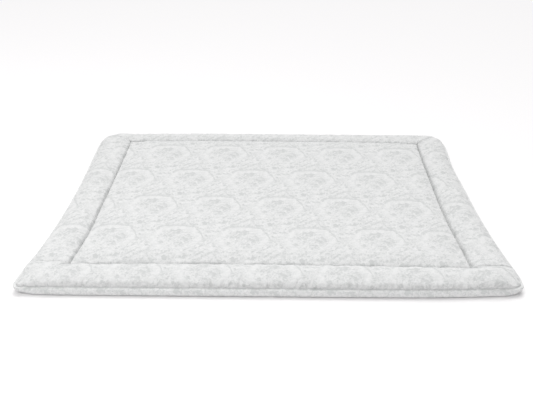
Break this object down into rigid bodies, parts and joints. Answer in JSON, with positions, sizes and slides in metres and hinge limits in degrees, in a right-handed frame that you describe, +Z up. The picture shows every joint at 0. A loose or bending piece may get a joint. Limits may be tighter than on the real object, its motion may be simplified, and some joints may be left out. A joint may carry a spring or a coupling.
{
  "type": "baby play mat",
  "caption": "Padded rectangular baby play mat with a crowned centre panel, a padded border and an underside cloth, lying flat.",
  "frame": {"origin": "middle of the floor below the mat", "axes": "+X across the width, +Y from the front edge to the back edge, +Z up"},
  "size_m": [0.9564, 0.7476, 0.0343],
  "materials": {
    "printed_cotton": "matt plain-weave cotton, off-white with a pale grey-green medallion and leaf print",
    "underside_cotton": "matt plain-weave cotton, off-white with the same pale print"
  },
  "bodies": {
    "root": {"centre_panel": "printed_cotton", "border_front": "printed_cotton", "border_back": "printed_cotton", "border_left": "printed_cotton", "border_right": "printed_cotton", "underside": "underside_cotton"}
  },
  "joints": []
}
